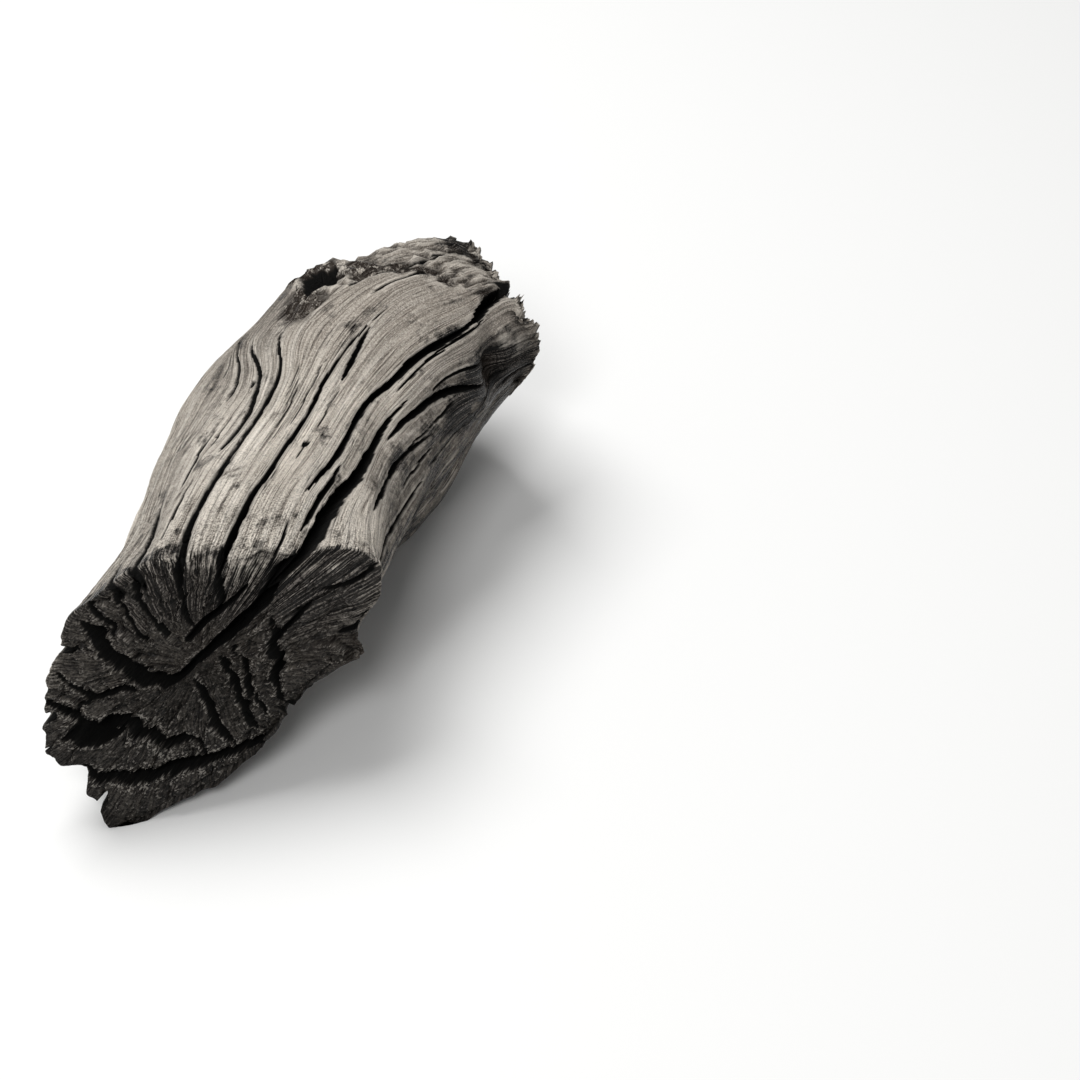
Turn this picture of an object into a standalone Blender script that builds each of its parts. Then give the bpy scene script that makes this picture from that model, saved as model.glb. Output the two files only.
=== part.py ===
"""A lump of hardwood charcoal: a bent, charred piece of branch wood that lies on its side.

The tables are in millimetres and degrees, and the mesh is in metres. +Y runs along the grain from the
dark cut end to the broken end, and +Z is up. The origin is under the middle of the lump's box.
"""

import math

import bmesh
import bpy
from mathutils import Matrix, Vector, noise

MM = 0.001

# Driving dimensions of the whole lump
LENGTH_SCALE = 1.0
GIRTH_SCALE = 1.0

# Mesh of the uncracked body
COLUMNS = 64
SIDE_ROWS = 30
FACE_RINGS = (0.25, 0.45, 0.62, 0.77)
FAR_RINGS = (0.78, 0.58, 0.34)
# The rims are rounded off: share of the length, share of the radius
RIM_ARC = ((0.001, 0.89), (0.009, 0.955), (0.024, 0.992))
FAR_ARC = ((0.988, 0.985), (0.998, 0.90))

# Sections along the grain. Each has its share of the length, the pith's place (x, y, z), how far the
# section leans back for each millimetre to the right and each millimetre up, and its radii round the
# pith, every 30 degrees from +X towards +Z.
SECTIONS = (
    (0.00, (13.5, 26.7, 42), (0.855, 0.36), (32, 38, 28, 27, 32, 32, 31, 34, 34, 37, 30, 27)),
    (0.20, (8, 52, 43), (0.50, 0.20), (34, 37, 33, 30, 29, 28, 29, 35, 42, 41, 31, 31)),
    (0.40, (4, 84, 44), (0.20, 0.05), (34, 35, 33, 30, 30, 33, 36, 42, 48, 43, 36, 33)),
    (0.60, (2, 118, 46), (0.0, 0.0), (34, 34, 31, 30, 31, 37, 41, 46, 51, 46, 38, 31)),
    (0.78, (4, 150, 49), (-0.30, 0.0), (33, 32, 30, 28, 30, 33, 37, 42, 49, 48, 39, 31)),
    (0.92, (13, 176, 50), (-0.52, 0.0), (25, 25, 24, 22, 23, 26, 30, 37, 41, 36, 28, 23)),
    (1.00, (23, 192, 48), (-0.58, 0.0), (18, 19, 19, 17, 21, 25, 26, 27, 26, 22, 18, 16)),
)
TURN = 360
STEP = TURN / 12

# Swellings and hollows: share of the length, angle, their half-length and half-width, height
SWELLINGS = {
    "heel": (0.00, 252, 0.16, 11, 9.5),
    "left_foot": (0.62, 238, 0.12, 12, 2.0),
    "right_foot": (0.69, 284, 0.13, 11, 5.0),
    "knot_lip": (0.00, 349, 0.04, 9, 4.0),
    "branch_hole": (0.76, 118, 0.028, 9, -8.0),
    "charred_pocket": (0.88, 13, 0.035, 14, -6.0),
    "left_notch": (0.00, 229, 0.05, 7, -4.0),
    "branch_collar": (0.76, 136, 0.07, 15, 4.0),
}
# Waves in the surface, drawn out along the grain
WAVE = {"height": 1.3, "across": 16.0, "along": 55.0}
KNOBBLE = {"height": 0.7, "across": 6.0, "along": 16.0}
WAVE_START = Vector((3.1, 7.7, 1.3))

# The cut front face is rough, and its rim stands back from the middle
FRONT_FACE = {"roughness": 1.6, "lumps": 3.2, "rim_back": 1.5, "start": 0.4, "ends": 0.02}

# Drying checks in the side: a path of (share of the length, angle), width and depth
SIDE_CHECKS = {
    "rim_short": (((-0.03, 130), (0.03, 131), (0.12, 135)), 1.6, 4),
    "left_edge": (((-0.04, 119), (0.05, 122), (0.14, 126), (0.30, 137)), 2.0, 7),
    "left_long": (((-0.04, 103), (0.10, 104), (0.28, 103), (0.45, 102), (0.55, 107), (0.66, 126)), 2.2, 9),
    "left_branch": (((0.34, 109), (0.45, 108), (0.54, 117), (0.63, 138)), 1.8, 5),
    "middle_long": (((-0.04, 87), (0.06, 85), (0.20, 80), (0.40, 78), (0.62, 78), (0.78, 74)), 2.2, 9),
    "right_long": (((0.22, 60), (0.36, 58), (0.52, 56), (0.66, 48), (0.80, 41), (0.87, 41)), 3.2, 10),
    "far_split": (((0.86, 42), (0.92, 50), (0.97, 62), (1.04, 68)), 3.6, 9),
    "short_split": (((0.12, 55), (0.22, 53), (0.37, 51)), 1.4, 5),
    "great_split": (((-0.05, 53), (0.04, 49), (0.14, 45), (0.30, 43), (0.46, 40), (0.60, 41)), 5.0, 15),
    "right_curl": (((0.53, 33), (0.60, 30), (0.70, 24), (0.82, 17)), 2.6, 8),
    "right_rib": (((0.30, 29), (0.42, 27), (0.50, 26), (0.62, 20)), 1.5, 6),
    "flank_upper": (((-0.05, 2), (0.15, 5), (0.35, 8), (0.55, 6)), 2.0, 6),
    "flank_lower": (((0.08, 340), (0.28, 338), (0.50, 343), (0.74, 350)), 2.4, 8),
    "underside_right": (((-0.05, 318), (0.20, 316), (0.48, 318), (0.60, 320)), 2.6, 9),
    "underside_far": (((0.70, 318), (0.85, 320), (1.05, 318)), 2.4, 7),
    "underside_middle": (((0.10, 285), (0.30, 280), (0.50, 272), (0.66, 268)), 2.2, 8),
    "underside_left": (((0.45, 252), (0.70, 256), (0.86, 260), (0.97, 264)), 2.6, 8),
    "left_low": (((0.16, 222), (0.35, 218), (0.58, 214), (0.72, 216)), 2.4, 9),
    "left_low_far": (((0.66, 232), (0.82, 236), (1.05, 238)), 2.2, 8),
    "left_middle": (((-0.05, 196), (0.14, 194), (0.36, 190), (0.52, 192)), 3.0, 10),
    "left_middle_far": (((0.50, 203), (0.68, 204), (0.84, 208), (1.05, 206)), 2.6, 9),
    "left_high": (((-0.05, 163), (0.15, 162), (0.34, 164), (0.56, 172)), 2.2, 8),
    "left_high_far": (((0.62, 163), (0.76, 160), (0.90, 158), (1.05, 156)), 2.6, 9),
    "crown_far": (((0.80, 104), (0.90, 106), (1.05, 112)), 2.2, 7),
    "crown_short": (((0.56, 72), (0.62, 74), (0.70, 77)), 1.2, 3),
    "far_right": (((0.90, 352), (0.97, 350), (1.05, 350)), 2.2, 5),
}

# Checks in the cut front face: a path of (share of the radius, angle), width and depth
FACE_CHECKS = {
    "great_left": (((1.08, 148), (0.88, 148), (0.66, 156), (0.42, 174), (0.27, 199), (0.10, 205)), 4.0, 12),
    "great_right": (((0.14, 200), (0.10, 75), (0.22, 56), (0.36, 44), (0.55, 45), (1.06, 54)), 3.6, 12),
    "short_right": (((0.28, 108), (0.42, 82), (0.55, 74), (0.72, 68)), 1.8, 6),
    "rib_1": (((1.08, 120), (0.77, 122), (0.51, 123), (0.28, 134)), 2.2, 7),
    "rib_2": (((1.08, 102), (0.72, 103), (0.44, 99)), 2.0, 7),
    "rib_3": (((1.08, 87), (0.76, 86), (0.44, 74)), 2.0, 7),
    "rib_0": (((1.04, 130), (0.91, 131), (0.68, 138)), 1.4, 4),
    "fan_1": (((0.20, 20), (0.20, 350), (0.36, 324), (0.60, 312), (0.88, 305)), 2.4, 9),
    "fan_2": (((0.44, 40), (0.46, 2), (0.60, 338), (0.86, 322)), 2.2, 8),
    "fan_3": (((0.20, 236), (0.34, 278), (0.60, 290), (0.88, 294)), 2.6, 9),
    "low_1": (((1.08, 193), (0.82, 197), (0.60, 218), (0.50, 240), (0.54, 274)), 2.4, 9),
    "low_2": (((1.08, 226), (0.86, 233), (0.70, 249), (0.70, 266), (0.79, 282), (1.05, 298)), 3.0, 10),
    "right_1": (((0.50, 12), (0.58, 26), (0.74, 32)), 1.7, 5),
}

# Checks in the broken far face, laid out the same way
FAR_CHECKS = {
    "right": (((0.12, 62), (0.50, 66), (1.08, 69)), 2.8, 7),
    "left_high": (((0.36, 160), (0.70, 158), (1.08, 157)), 2.2, 6),
    "left_low": (((0.50, 206), (0.75, 207), (1.08, 206)), 2.0, 5),
    "under": (((0.30, 240), (0.65, 238), (1.08, 238)), 2.4, 6),
}

# The wood draws back on both sides of a check, by this much for its width
GROOVE = {"drop": 0.55, "reach": 1.3, "margin": 1.6}
# A check's cutter: sections along it, how far it stands proud of the wood, how much of its width is
# left at its floor and gained at its mouth, and how full it stays towards its ends
CHECK = {
    "sections": 9, "proud": 1.6, "floor": 0.35, "mouth": 1.15, "first": 0.06, "fullness": 0.6, "lift": 0.35,
}

# A round hole eaten into the front face before the wood was charred
WORM_HOLE = {"radius_share": 0.75, "angle": 215, "radius": 3.4, "depth": 9}

# Steps in the broken far end
SPLINTER = {"height": 7.0, "grain": 8.0, "step": 2.4, "spread": 24, "start": 5.5, "begins": 0.98}

CHAR = {"colour": (0.11, 0.105, 0.10, 1.0), "roughness": 0.78}
SHARP_EDGE = math.radians(35)


def clear_scene():
    for old in list(bpy.data.objects):
        bpy.data.objects.remove(old)


def new_collection(name):
    made = bpy.data.collections.new(name)
    bpy.context.scene.collection.children.link(made)
    return made


def hermite(before, start, end, after, t):
    """A smooth curve from start to end, whose slopes follow the values on either side."""
    slope_in = (end - before) / 2
    slope_out = (after - start) / 2
    return (
        (2 * t**3 - 3 * t**2 + 1) * start
        + (t**3 - 2 * t**2 + t) * slope_in
        + (3 * t**2 - 2 * t**3) * end
        + (t**3 - t**2) * slope_out
    )


def along(values, share):
    """Reads a list of (share, value) pairs as a smooth curve, and runs straight on past its ends."""
    last = len(values) - 1
    i = max(0, min(last - 1, sum(1 for s, _ in values[1:] if s < share)))
    (s0, start), (s1, end) = values[i], values[i + 1]
    t = (share - s0) / (s1 - s0)
    if t < 0 or t > 1:
        return start + (end - start) * t
    before = values[i - 1][1] if i else start
    after = values[i + 2][1] if i + 2 <= last else end
    return hermite(before, start, end, after, t)


def pith(share):
    x, y, z = (along([(s[0], s[1][axis]) for s in SECTIONS], share) for axis in range(3))
    return Vector((x * GIRTH_SCALE, y * LENGTH_SCALE, z * GIRTH_SCALE))


def lean(share):
    held = max(0.0, min(1.0, share))
    return [along([(s[0], s[2][axis]) for s in SECTIONS], held) for axis in range(2)]


def turn_between(angle, other):
    """The angle from other to angle, from -180 to 180 degrees."""
    return (angle - other + TURN / 2) % TURN - TURN / 2


def check_groove(angle, share, radius):
    """How far the wood has shrunk back beside the checks, which rounds the ribs between them."""
    drop = 0.0
    for path, width, _ in SIDE_CHECKS.values():
        if not path[0][0] - 0.04 < share < path[-1][0] + 0.04:
            continue
        apart = math.radians(turn_between(angle, along(path, share))) * radius
        reach = GROOVE["reach"] * width + GROOVE["margin"]
        drop = max(drop, GROOVE["drop"] * width * math.exp(-((apart / reach) ** 2)))
    return drop


def plain_radius(angle, share):
    """The radius of the section at an angle, with its swellings."""
    held = max(0.0, min(1.0, share))
    i = int(angle // STEP)
    corners = [along([(s[0], s[3][(i + k) % 12]) for s in SECTIONS], held) for k in (-1, 0, 1, 2)]
    radius = hermite(*corners, angle / STEP - i) * GIRTH_SCALE
    for place, at, half_length, half_width, height in SWELLINGS.values():
        off = turn_between(angle, at) / half_width
        radius += height * math.exp(-off * off - ((held - place) / half_length) ** 2)
    return radius


def wood_radius(angle, share):
    radius = plain_radius(angle, share)
    middle = pith(share)
    turned = math.radians(angle)
    x, z = math.cos(turned) * radius, math.sin(turned) * radius
    for wave in (WAVE, KNOBBLE):
        spot = Vector((x / wave["across"], middle.y / wave["along"], z / wave["across"]))
        radius += wave["height"] * noise.noise(spot + WAVE_START)
    return radius - check_groove(angle, share, radius)


def in_section(angle, share, distance):
    """The point of a section at an angle and a distance from the pith."""
    turned = math.radians(angle)
    x, z = math.cos(turned) * distance, math.sin(turned) * distance
    lean_x, lean_z = lean(share)
    return pith(share) + Vector((x, lean_x * x + lean_z * z, z))


def on_disc(angle, out, spread, start):
    """A place to read the noise at, for a point of an end face."""
    turned = math.radians(angle)
    return Vector((math.cos(turned) * out * spread, start, math.sin(turned) * out * spread))


def face_bulge(angle, out):
    """How far the front face stands back from its plane."""
    spot = on_disc(angle, out, FRONT_FACE["lumps"], FRONT_FACE["start"])
    return FRONT_FACE["roughness"] * noise.noise(spot) + FRONT_FACE["rim_back"] * out * out


def splinter_drop(angle, out):
    """How far the broken far end falls back from its plane, in steps as bundles of fibres break."""
    spot = on_disc(angle, out, SPLINTER["spread"] / SPLINTER["grain"], SPLINTER["start"])
    steps = SPLINTER["height"] * (0.5 + 0.9 * noise.noise(spot)) / SPLINTER["step"]
    riser = min(1.0, max(0.0, (steps % 1 - 0.5) * 4 + 0.5))
    return (math.floor(steps) + riser) * SPLINTER["step"]


def ring_profile():
    """The rings of the body from the front pith to the far pith, as (share of length, share of radius)."""
    rings = [(0.0, out) for out in FACE_RINGS] + list(RIM_ARC)
    first, last = RIM_ARC[-1][0], FAR_ARC[0][0]
    rings += [(first + (last - first) * k / SIDE_ROWS, 1.0) for k in range(1, SIDE_ROWS)]
    return rings + list(FAR_ARC) + [(1.0, out) for out in FAR_RINGS]


def body_point(angle, share, out):
    point = in_section(angle, share, wood_radius(angle, share) * out)
    if share < FRONT_FACE["ends"]:
        point.y += face_bulge(angle, out)
    if share > SPLINTER["begins"]:
        point.y -= splinter_drop(angle, out)
    point.z = max(point.z, 0.0)
    return point


def face_outwards(mesh):
    bmesh.ops.recalc_face_normals(mesh, faces=mesh.faces)
    if mesh.calc_volume(signed=True) < 0:
        bmesh.ops.reverse_faces(mesh, faces=mesh.faces)


def make_body():
    """A sphere's rings, laid out over the front face, the side and the far face of the lump."""
    rings = ring_profile()
    mesh = bmesh.new()
    bmesh.ops.create_uvsphere(mesh, u_segments=COLUMNS, v_segments=len(rings) + 1, radius=1)
    for vertex in mesh.verts:
        ball = vertex.co.copy()
        latitude = math.acos(max(-1.0, min(1.0, -ball.z))) / math.pi
        ring = round(latitude * (len(rings) + 1)) - 1
        angle = math.degrees(math.atan2(ball.y, ball.x)) % TURN
        if ring < 0:
            vertex.co = body_point(0, 0.0, 0.0) * MM
        elif ring >= len(rings):
            vertex.co = body_point(0, 1.0, 0.0) * MM
        else:
            vertex.co = body_point(angle, *rings[ring]) * MM
    face_outwards(mesh)
    data = bpy.data.meshes.new("charcoal_lump")
    mesh.to_mesh(data)
    mesh.free()
    return bpy.data.objects.new("charcoal_lump", data)


def side_place(share, angle):
    """A point of the side and the direction straight into the wood there."""
    point = in_section(angle, share, plain_radius(angle % TURN, share))
    return point, (pith(share) - point).normalized()


def face_place(x, z):
    """The same for a point of the front face, given across its radii instead of round them."""
    angle, out = math.degrees(math.atan2(z, x)) % TURN, math.hypot(x, z)
    point = in_section(angle, 0.0, plain_radius(angle, 0.0) * out)
    point.y += face_bulge(angle, out)
    return point, (pith(0.2) - pith(0.0)).normalized()


def far_place(x, z):
    angle, out = math.degrees(math.atan2(z, x)) % TURN, math.hypot(x, z)
    point = in_section(angle, 1.0, plain_radius(angle, 1.0) * out)
    point.y -= SPLINTER["height"] * 0.5
    return point, (pith(0.9) - pith(1.0)).normalized()


def across_face(path):
    """Turns a path of (share of the radius, angle) into one of flat coordinates, which can cross the pith."""
    return [(out * math.cos(math.radians(a)), out * math.sin(math.radians(a))) for out, a in path]


def smooth_path(path, steps):
    """Points spread evenly along a path of pairs, on a smooth curve through them."""
    last = len(path) - 1
    first = [(k / last, pair[0]) for k, pair in enumerate(path)]
    second = [(k / last, pair[1]) for k, pair in enumerate(path)]
    shares = [k / (steps - 1) for k in range(steps)]
    return [(t, along(first, t), along(second, t)) for t in shares]


def make_check(name, path, width, depth, place, holder):
    """A bar with a wedge-shaped section, which follows a path and tapers off towards both ends."""
    mesh = bmesh.new()
    bmesh.ops.create_cube(mesh, size=1)
    long_edges = [e for e in mesh.edges if abs(e.verts[0].co.x - e.verts[1].co.x) > 0.5]
    bmesh.ops.subdivide_edges(mesh, edges=long_edges, cuts=CHECK["sections"] - 2)
    course = [(t, *place(first, second)) for t, first, second in smooth_path(path, CHECK["sections"])]
    last = CHECK["sections"] - 1
    for vertex in mesh.verts:
        step = round((vertex.co.x + 0.5) * last)
        t, point, inward = course[step]
        ahead = course[min(last, step + 1)][1] - course[max(0, step - 1)][1]
        across = ahead.cross(inward).normalized()
        fullness = math.sin(math.pi * (CHECK["first"] + (1 - 2 * CHECK["first"]) * t)) ** CHECK["fullness"]
        half = math.copysign(width * fullness / 2, vertex.co.y)
        if vertex.co.z < 0:
            sunk = depth * (fullness - CHECK["lift"]) / (1 - CHECK["lift"])
            vertex.co = (point + inward * sunk + across * half * CHECK["floor"]) * MM
        else:
            vertex.co = (point - inward * CHECK["proud"] + across * half * CHECK["mouth"]) * MM
    add_cutter(name, mesh, holder)


def add_cutter(name, mesh, holder):
    face_outwards(mesh)
    data = bpy.data.meshes.new(name)
    mesh.to_mesh(data)
    mesh.free()
    cutter = bpy.data.objects.new(name, data)
    cutter.hide_render = True
    cutter.display_type = "WIRE"
    holder.objects.link(cutter)


def make_worm_hole(holder):
    x, z = across_face([(WORM_HOLE["radius_share"], WORM_HOLE["angle"])])[0]
    point, inward = face_place(x, z)
    mesh = bmesh.new()
    bmesh.ops.create_icosphere(mesh, subdivisions=2, radius=1)
    wide, deep = WORM_HOLE["radius"] * MM, WORM_HOLE["depth"] * MM
    bmesh.ops.scale(mesh, vec=(wide, wide, deep), verts=mesh.verts)
    turned = inward.to_track_quat("Z", "Y").to_matrix().to_4x4()
    bmesh.ops.transform(mesh, matrix=Matrix.Translation(point * MM) @ turned, verts=mesh.verts)
    add_cutter("worm_hole", mesh, holder)


def cut_checks(body, cutters):
    for cutter in cutters.objects:
        cut = body.modifiers.new(cutter.name, "BOOLEAN")
        cut.operation = "DIFFERENCE"
        cut.object = cutter
        cut.solver = "MANIFOLD"


def stand_on_origin(body, cutters):
    """Puts the middle of the underside of the body's box at the origin."""
    low = Vector([min(v.co[k] for v in body.data.vertices) for k in range(3)])
    high = Vector([max(v.co[k] for v in body.data.vertices) for k in range(3)])
    foot = Vector(((low.x + high.x) / 2, (low.y + high.y) / 2, low.z))
    for shape in [body, *cutters.objects]:
        shape.location = -foot


def char_material():
    material = bpy.data.materials.new("charred_wood")
    material.use_nodes = True
    shader = material.node_tree.nodes["Principled BSDF"]
    shader.inputs["Base Color"].default_value = CHAR["colour"]
    shader.inputs["Roughness"].default_value = CHAR["roughness"]
    shader.inputs["Metallic"].default_value = 0.0
    return material


def main():
    clear_scene()
    parts = new_collection("charcoal_lump")
    cutters = new_collection("check_cutters")
    body = make_body()
    parts.objects.link(body)
    for name, check in SIDE_CHECKS.items():
        make_check(name, *check, side_place, cutters)
    for name, check in FACE_CHECKS.items():
        path, width, depth = check
        make_check("face_" + name, across_face(path), width, depth, face_place, cutters)
    for name, check in FAR_CHECKS.items():
        path, width, depth = check
        make_check("far_" + name, across_face(path), width, depth, far_place, cutters)
    make_worm_hole(cutters)
    cut_checks(body, cutters)
    stand_on_origin(body, cutters)
    body.data.shade_smooth()
    body.data.set_sharp_from_angle(angle=SHARP_EDGE)
    body.data.materials.clear()
    body.data.materials.append(char_material())


main()
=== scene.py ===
import math
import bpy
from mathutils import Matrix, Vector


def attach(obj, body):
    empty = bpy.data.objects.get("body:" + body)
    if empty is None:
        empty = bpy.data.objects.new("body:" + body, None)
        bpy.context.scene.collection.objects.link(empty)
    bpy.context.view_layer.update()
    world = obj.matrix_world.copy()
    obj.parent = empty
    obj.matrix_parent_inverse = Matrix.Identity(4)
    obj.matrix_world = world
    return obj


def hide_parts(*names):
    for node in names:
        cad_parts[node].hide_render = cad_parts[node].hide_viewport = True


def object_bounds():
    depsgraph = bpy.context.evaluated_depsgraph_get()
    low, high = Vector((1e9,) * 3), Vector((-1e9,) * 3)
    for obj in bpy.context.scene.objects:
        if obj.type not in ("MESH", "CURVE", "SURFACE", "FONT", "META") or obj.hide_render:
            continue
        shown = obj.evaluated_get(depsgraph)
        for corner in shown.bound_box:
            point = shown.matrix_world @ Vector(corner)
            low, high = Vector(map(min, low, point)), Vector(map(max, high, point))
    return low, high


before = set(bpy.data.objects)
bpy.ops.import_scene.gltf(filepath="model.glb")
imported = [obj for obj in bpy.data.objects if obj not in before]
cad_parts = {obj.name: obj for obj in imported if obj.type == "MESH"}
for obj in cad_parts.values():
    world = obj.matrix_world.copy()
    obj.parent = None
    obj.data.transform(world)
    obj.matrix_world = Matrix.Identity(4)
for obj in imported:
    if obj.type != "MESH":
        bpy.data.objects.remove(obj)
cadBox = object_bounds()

from types import SimpleNamespace

import bmesh
import bpy
import numpy as np
from mathutils import Vector, noise

# The tables are in millimetres and degrees. Angles go round the pith from +X towards +Z.
mm = 0.001
turn = 360.0

lump = {
    "columns": 560,
    "faceRings": 48,
    "rimRings": 16,
    "sideRows": 90,
    "farRimRings": 4,
    "farRings": 18,
    "rowSpread": 1.06,      # above 1 the side's rows lie closer together in front
    "farShare": 0.985,      # where the far rim starts, as a share of the length
    "farRound": 0.08,
    "boxMiddle": (4.2, 102.1, 0.0),     # the solid's origin, in the places of the tables
    "woodRadius": 38.0,     # the size of the space that the grain's noises are laid out in
    "woodLength": 185.0,
    "pithShare": 0.15,
    "brokenFrom": 0.90,     # where the broken end starts, and over which share it comes in
    "brokenFade": 0.045,
    "taller": 1.5,          # the most that the ribs stand above the solid
    "spokes": 12,
}

# the front rim is rounded broadly on top and tightly below
rim = {"share": (0.016, 0.068), "round": (0.09, 0.30), "top": 76.0, "spread": 72.0}

# share of the length, pith (x, y, z), lean with x and z, radii every 30 degrees
sections = (
    (0.00, (13.5, 26.7, 42), (0.855, 0.36), (32, 38, 28, 27, 32, 32, 31, 34, 34, 37, 30, 27)),
    (0.20, (8, 52, 43), (0.50, 0.20), (34, 37, 33, 30, 29, 28, 29, 35, 42, 41, 31, 31)),
    (0.40, (4, 84, 44), (0.20, 0.05), (34, 35, 33, 30, 30, 33, 36, 42, 48, 43, 36, 33)),
    (0.60, (2, 118, 46), (0.0, 0.0), (34, 34, 31, 30, 31, 37, 41, 46, 51, 46, 38, 31)),
    (0.78, (4, 150, 49), (-0.30, 0.0), (33, 32, 30, 28, 30, 33, 37, 42, 49, 48, 39, 31)),
    (0.92, (13, 176, 50), (-0.52, 0.0), (25, 25, 24, 22, 23, 26, 30, 37, 41, 36, 28, 23)),
    (1.00, (23, 192, 48), (-0.58, 0.0), (18, 19, 19, 17, 21, 25, 26, 27, 26, 22, 18, 16)),
)

# share, angle, half-length, half-width, height
swellings = {
    "heel": (0.00, 252, 0.16, 11, 9.5),
    "leftFoot": (0.62, 238, 0.12, 12, 2.0),
    "rightFoot": (0.69, 284, 0.13, 11, 5.0),
    "knotLip": (0.00, 349, 0.04, 9, 4.0),
    "branchDip": (0.76, 123, 0.034, 10, -3.0),
    "charredPocket": (0.88, 13, 0.035, 14, -6.0),
    "leftNotch": (0.00, 229, 0.05, 7, -4.0),
    "branchCollar": (0.76, 136, 0.07, 15, 4.0),
    "crown": (0.92, 132, 0.07, 25, 2.2),
    "lobeLow": (0.00, 236, 0.04, 6, 3.5),
}

# long waves of the surface, as in the solid
waves = {
    "broad": {"height": 1.3, "across": 16.0, "along": 55.0},
    "knobble": {"height": 0.7, "across": 6.0, "along": 16.0},
    "start": Vector((3.1, 7.7, 1.3)),
}

# drying checks of the side: path of (share, angle), width at the start, middle and end, depth
sideChecks = {
    "rimShort": (((-0.03, 130), (0.03, 131), (0.12, 135)), (1.6, 1.2, 0.8), 4),
    "leftEdge": (((-0.04, 119), (0.05, 122), (0.14, 126), (0.30, 137)), (2.0, 1.3, 0.8), 6),
    "leftLong": (
        ((-0.04, 103), (0.10, 104), (0.28, 103), (0.45, 102), (0.55, 107), (0.66, 126)),
        (1.8, 1.0, 0.9), 6,
    ),
    "leftBranch": (((0.34, 109), (0.45, 108), (0.54, 117), (0.63, 138)), (0.9, 1.3, 1.1), 4),
    "middleLong": (
        ((-0.04, 87), (0.07, 84), (0.27, 79), (0.44, 77), (0.60, 80), (0.74, 78)),
        (1.8, 0.9, 0.7), 7,
    ),
    "rightLong": (
        ((0.22, 60), (0.36, 55), (0.56, 54), (0.69, 48), (0.83, 43), (0.90, 46)),
        (0.9, 1.4, 2.6), 8,
    ),
    "farSplit": (((0.87, 44), (0.92, 50), (0.97, 62), (1.04, 68)), (3.0, 2.6, 2.8), 10),
    "shortSplit": (((0.12, 55), (0.22, 53), (0.37, 51)), (1.0, 1.2, 0.8), 5),
    "greatSplit": (
        ((-0.05, 54), (0.05, 51), (0.14, 48), (0.25, 45.5), (0.40, 41.5), (0.52, 41.5), (0.62, 40)),
        (2.4, 3.2, 1.4), 11,
    ),
    "rightCurl": (((0.50, 37), (0.60, 33), (0.70, 27), (0.78, 19), (0.83, 13)), (0.9, 2.0, 1.8), 7),
    "rightRib": (((0.30, 29), (0.42, 27), (0.50, 26), (0.62, 20)), (0.9, 1.4, 1.0), 5),
    "flankUpper": (((-0.05, 2), (0.15, 5), (0.35, 8), (0.55, 6)), (2.0, 1.6, 1.0), 6),
    "flankLower": (((0.08, 340), (0.28, 338), (0.50, 343), (0.74, 350)), (1.2, 2.2, 1.4), 8),
    "undersideRight": (((-0.05, 318), (0.20, 316), (0.48, 318), (0.60, 320)), (2.4, 2.4, 1.4), 9),
    "undersideFar": (((0.70, 318), (0.85, 320), (1.05, 318)), (1.2, 2.2, 2.4), 7),
    "undersideMiddle": (((0.10, 285), (0.30, 280), (0.50, 272), (0.66, 268)), (1.2, 2.0, 1.2), 8),
    "undersideLeft": (((0.45, 252), (0.70, 256), (0.86, 260), (0.97, 264)), (1.4, 2.4, 1.4), 8),
    "leftLow": (((0.16, 222), (0.35, 218), (0.58, 214), (0.72, 216)), (1.0, 2.0, 1.2), 9),
    "leftLowFar": (((0.66, 232), (0.82, 236), (1.05, 238)), (1.2, 1.8, 2.2), 8),
    "leftFoot": (((-0.05, 244), (0.06, 243), (0.13, 240)), (2.0, 1.2, 0.8), 6),
    "leftMiddle": (((-0.05, 196), (0.14, 194), (0.36, 190), (0.52, 192)), (3.2, 2.2, 1.2), 10),
    "leftMiddleFar": (((0.50, 203), (0.68, 204), (0.84, 208), (1.05, 206)), (1.2, 2.2, 2.6), 9),
    "leftHigh": (((-0.05, 163), (0.15, 162), (0.34, 164), (0.56, 172)), (2.2, 1.6, 0.9), 8),
    "leftHighFar": (((0.62, 163), (0.76, 160), (0.90, 158), (1.05, 156)), (1.0, 1.8, 2.6), 9),
    "crownFar": (((0.80, 104), (0.90, 106), (1.05, 112)), (1.0, 1.6, 2.2), 7),
    "crownShort": (((0.56, 72), (0.62, 74), (0.70, 77)), (0.7, 1.1, 0.8), 3),
    "farRight": (((0.90, 352), (0.97, 350), (1.05, 350)), (1.2, 1.8, 2.2), 5),
}
groove = {"drop": 0.62, "reach": 1.3, "margin": 2.2, "faceDrop": 0.12}      # the wood sinks beside a check

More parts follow.
